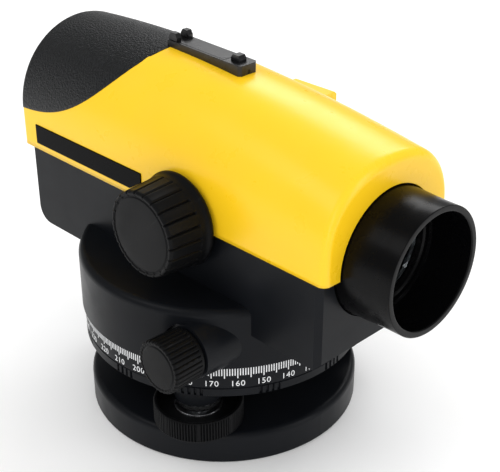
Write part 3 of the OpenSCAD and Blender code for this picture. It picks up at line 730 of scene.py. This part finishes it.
def objective():
    front = barrel_high.x
    rear = barrel_low.x
    rim_r = 24.3
    bore = 21.8
    rear_r = (barrel_high.z - barrel_low.z) / 2
    seat = retainer_high.x
    lens_rear = retainer_low.x - 6
    profile = rounded([
        (15.6, rear), (rear_r, rear, 0.4), (rim_r + 0.05, front - 7, 0.8), (rim_r, front, 0.3),
        (bore + 0.3, front, 0.3), (bore, front - 0.5, 0.2), (bore, seat + 1.0, 0.1), (20.5, seat + 0.9, 0.1), (20.5, lens_rear),
        (16.5, lens_rear), (16.5, rear + 6), (15.6, rear + 6),
    ])
    verts, faces = lathe(profile, on_sight(0), steps=192, closed=True)
    add_piece("barrel_detail", verts, faces, MATERIALS["black_barrel"], "alidade",
              ["objective_barrel"])


def lens_retainer():
    low, high = retainer_low.x, retainer_high.x
    step = 0.9               # the inner step lies this far behind the face
    profile = rounded([
        (18.8, low), (20.45, low), (20.45, high - 0.2, 0.1), (20.2, high, 0.1), (19.4, high, 0.1),
        (18.8, high - 0.7, 0.3),
    ])
    ring = lathe(profile, on_sight(0), steps=192, closed=True)
    inner = rounded([(18.9, low + 0.1), (19.3, high - step), (19.4, high - step + 0.1), (19.0, low + 0.2)])
    verts, faces = joined(ring, lathe(inner, on_sight(0), steps=96, closed=True))
    add_piece("retainer_detail", verts, faces, MATERIALS["black_barrel"], "alidade",
              ["lens_retainer"])


# ---------- eyepiece ----------


def dioptre_ring():
    low, high = dioptre_low.x, dioptre_high.x
    r = (dioptre_high.z - dioptre_low.z) / 2
    deep = 0.45
    profile = rounded([
        (9.6, low), (r - 3.2, low, 0.3), (r - 1.8, low + 0.9, 0.5), (r - 1.6, low + 2.4, 0.4),
        (r - 0.2, low + 3.4, 0.4, 0.0), (r, low + 4.0, 0.3, deep), (r, high - 2.4, 0.3, deep),
        (r - 0.2, high - 1.8, 0.3, 0.0), (r - 0.4, high, 0.4), (11.05, high), (11.05, low + 5.7), (9.6, low + 5.7),
    ])
    verts, faces = lathe(profile, on_sight(0), steps=480, wave=grouped_ribs(60, 6, 0.1), closed=True)
    add_piece("dioptre_detail", verts, faces, MATERIALS["black_knob"], "dioptre", ["dioptre_ring"])


def dioptre_marks():
    """Index dots and a scale of short lines on the dioptre ring's plain collar."""
    r = (dioptre_high.z - dioptre_low.z) / 2 - 0.4
    x = dioptre_high.x - 1.0
    parts = []
    for step in range(-3, 4):
        a = radians(90 + 9 * step)
        half, proud = 0.022 if step else 0.04, 0.05
        corners = [(a - half, x - 0.55), (a + half, x - 0.55), (a + half, x + 0.55), (a - half, x + 0.55)]
        ring = [(h, q * cos(t), SIGHT_Z + q * sin(t)) for q in (r - 0.15, r + proud) for t, h in corners]
        faces = [(0, 3, 2, 1), (4, 5, 6, 7)] + [(i, (i + 1) % 4, 4 + (i + 1) % 4, 4 + i) for i in range(4)]
        parts.append((ring, faces))
    verts, faces = joined(*parts)
    add_piece("dioptre_scale", verts, faces, MATERIALS["marking_white"], "dioptre")


def eyecup():
    low, high = cup_low.x, cup_high.x
    profile = rounded([
        (9.0, high), (12.0, high, 0.4), (12.1, high - 1.0, 0.3), (11.7, high - 1.5, 0.3), (12.3, high - 2.2, 0.4),
        (13.4, low + 0.5, 0.4), (12.9, low, 0.4), (11.8, low + 0.3, 0.4), (10.6, low + 1.8, 0.6),
    ])
    verts, faces = lathe(profile, on_sight(0), steps=144, closed=True)
    add_piece("eyecup_detail", verts, faces, MATERIALS["black_rubber"], "eyepiece", ["eyecup"])


# ---------- circular level and its prism hood ----------


def circular_level():
    x, y = (vial_low.x + vial_high.x) / 2, (vial_low.y + vial_high.y) / 2
    place = Matrix.Translation((x, y, 0))
    low, high = case_low.z, case_high.z
    vial_r = (vial_high.x - vial_low.x) / 2
    outer = vial_r + 1.5
    flange = (case_high.y - case_low.y) / 2
    profile = rounded([
        (0, low), (flange, low, 0.3), (flange, low + 2, 0.4), (outer + 0.2, low + 2, 0.5), (outer, high - 0.9, 0.5),
        (outer - 0.6, high, 0.4), (vial_r + 0.05, high, 0.2), (vial_r + 0.05, low + 2), (0, low + 2),
    ])
    verts, faces = lathe(profile, place, steps=120)
    add_piece("level_case_detail", verts, faces, MATERIALS["black_barrel"], "alidade",
              ["level_case"])
    dome = [(0, low + 2.05), (vial_r, low + 2.05)]
    crown = [(vial_r * cos(a), vial_high.z - 1.5 + 1.5 * sin(a)) for a in (radians(9 * i) for i in range(11))]
    dome += [(r if r > 1e-6 else 0, z) for r, z in crown]
    verts, faces = lathe([(r, z, 0) for r, z in dome], place, steps=96)
    add_piece("level_glass", verts, faces, MATERIALS["vial_glass"], "alidade", ["level_vial"])
    circle_z = high - 0.8
    mark = [(2.6, circle_z, 0), (2.85, circle_z, 0), (2.85, circle_z + 0.1, 0), (2.6, circle_z + 0.1, 0)]
    verts, faces = lathe(mark, place, steps=72, closed=True)
    add_piece("level_circle", verts, faces, MATERIALS["black_gloss"], "alidade")


def prism_hood():
    x0, x1 = hood_low.x, hood_high.x
    outer, top = hood_high.y, hood_high.z
    inner, low = 30.0, 112.0     # where the hood starts, inside the cover's wall, and its underside
    wall = 1.8
    corner = 1.2

    def section(inset):
        return [(inner, low), (outer - inset, low), (outer - inset, top - corner), (outer - corner, top - inset),
                (inner, top - inset)]

    rows = [
        [Vector((x, y, z)) for y, z in section(inset)]
        for x, inset in ((x1 - wall, wall), (x0, wall), (x0, 0.0), (x1, 0.0))
    ]
    verts, faces = grid(rows, wrap=True)
    n = len(rows[0])
    # The bottom side stays open, so that the bubble can be seen through the prism.
    faces = [f for f in faces if not all(abs(verts[i].z - low) < 0.01 for i in f)]
    faces.append(tuple(range(n)))
    faces.append(tuple(range(3 * n, 4 * n)))
    piece = add_piece("prism_hood_detail", verts, faces, MATERIALS["yellow_paint"], "alidade",
                      ["prism_hood"])
    return bevel(piece, 1.0, 4)


# ---------- camera, light and floor ----------


def camera():
    azimuth, elevation = radians(45.4), radians(28.4)
    data = bpy.data.cameras.new("camera")
    data.lens = 78.18
    data.sensor_width = 36
    data.clip_end = 20
    view = bpy.data.objects.new("camera", data)
    back = Vector((sin(azimuth) * cos(elevation), -cos(azimuth) * cos(elevation), sin(elevation)))
    view.location = Vector((288.0, -268.2, 284.2)) * MM
    view.rotation_euler = back.to_track_quat("Z", "Y").to_euler()
    bpy.context.scene.collection.objects.link(view)
    bpy.context.scene.camera = view


def lamp(name, place, aim, size, power, colour=(1.0, 1.0, 1.0)):
    data = bpy.data.lights.new(name, "AREA")
    data.shape = "RECTANGLE"
    data.size, data.size_y = size
    data.energy = power
    data.color = colour
    holder = bpy.data.objects.new(name, data)
    holder.location = place
    holder.rotation_euler = (Vector(place) - Vector(aim)).to_track_quat("Z", "Y").to_euler()
    bpy.context.scene.collection.objects.link(holder)


def studio():
    scene = bpy.context.scene
    scene.view_settings.view_transform = "Standard"
    world = bpy.data.worlds.new("studio")
    scene.world = world
    world.use_nodes = True
    background = world.node_tree.nodes["Background"]
    background.inputs["Color"].default_value = (1, 1, 1, 1)
    rays = world.node_tree.nodes.new("ShaderNodeLightPath")
    power = world.node_tree.nodes.new("ShaderNodeMapRange")
    power.inputs["To Min"].default_value = 1.0
    power.inputs["To Max"].default_value = 0.28
    world.node_tree.links.new(rays.outputs["Is Glossy Ray"], power.inputs["Value"])
    world.node_tree.links.new(power.outputs[0], background.inputs["Strength"])
    aim = (0, 0, 0.09)
    lamp("key", (-0.25, -0.75, 0.95), aim, (0.7, 0.5), 1.6)
    lamp("top", (-0.35, 0.75, 0.75), aim, (0.9, 0.35), 4.0)
    lamp("side", (0.95, 0.35, 0.45), aim, (0.25, 0.7), 1.5)
    lamp("front", (0.8, -0.75, 0.45), aim, (0.12, 0.85), 1.2)
    look = Look("floor", specular=0.2)
    look.colour(look.ramp(look.noise(6.0), (0.93, 0.93, 0.93), (0.96, 0.96, 0.96)))
    look.roughness(look.ramp(look.noise(30.0), 0.6, 0.75))
    reach = 6.0
    mesh = bpy.data.meshes.new("floor")
    mesh.from_pydata([(-reach, -reach, 0), (reach, -reach, 0), (reach, reach, 0), (-reach, reach, 0)], [],
                     [(0, 1, 2, 3)])
    mesh.materials.append(look.material)
    ground = bpy.data.objects.new("floor", mesh)
    scene.collection.objects.link(ground)


camera()
finish_cad_nodes()
foot_knobs()
graduated_ring()
ring_marks()
ring_numbers()
upper_cover()
rear_hood()
name_plate()
sight_rail()
focus_knob()
tangent_knobs()
objective()
lens_retainer()
dioptre_ring()
dioptre_marks()
eyecup()
circular_level()
prism_hood()
studio()
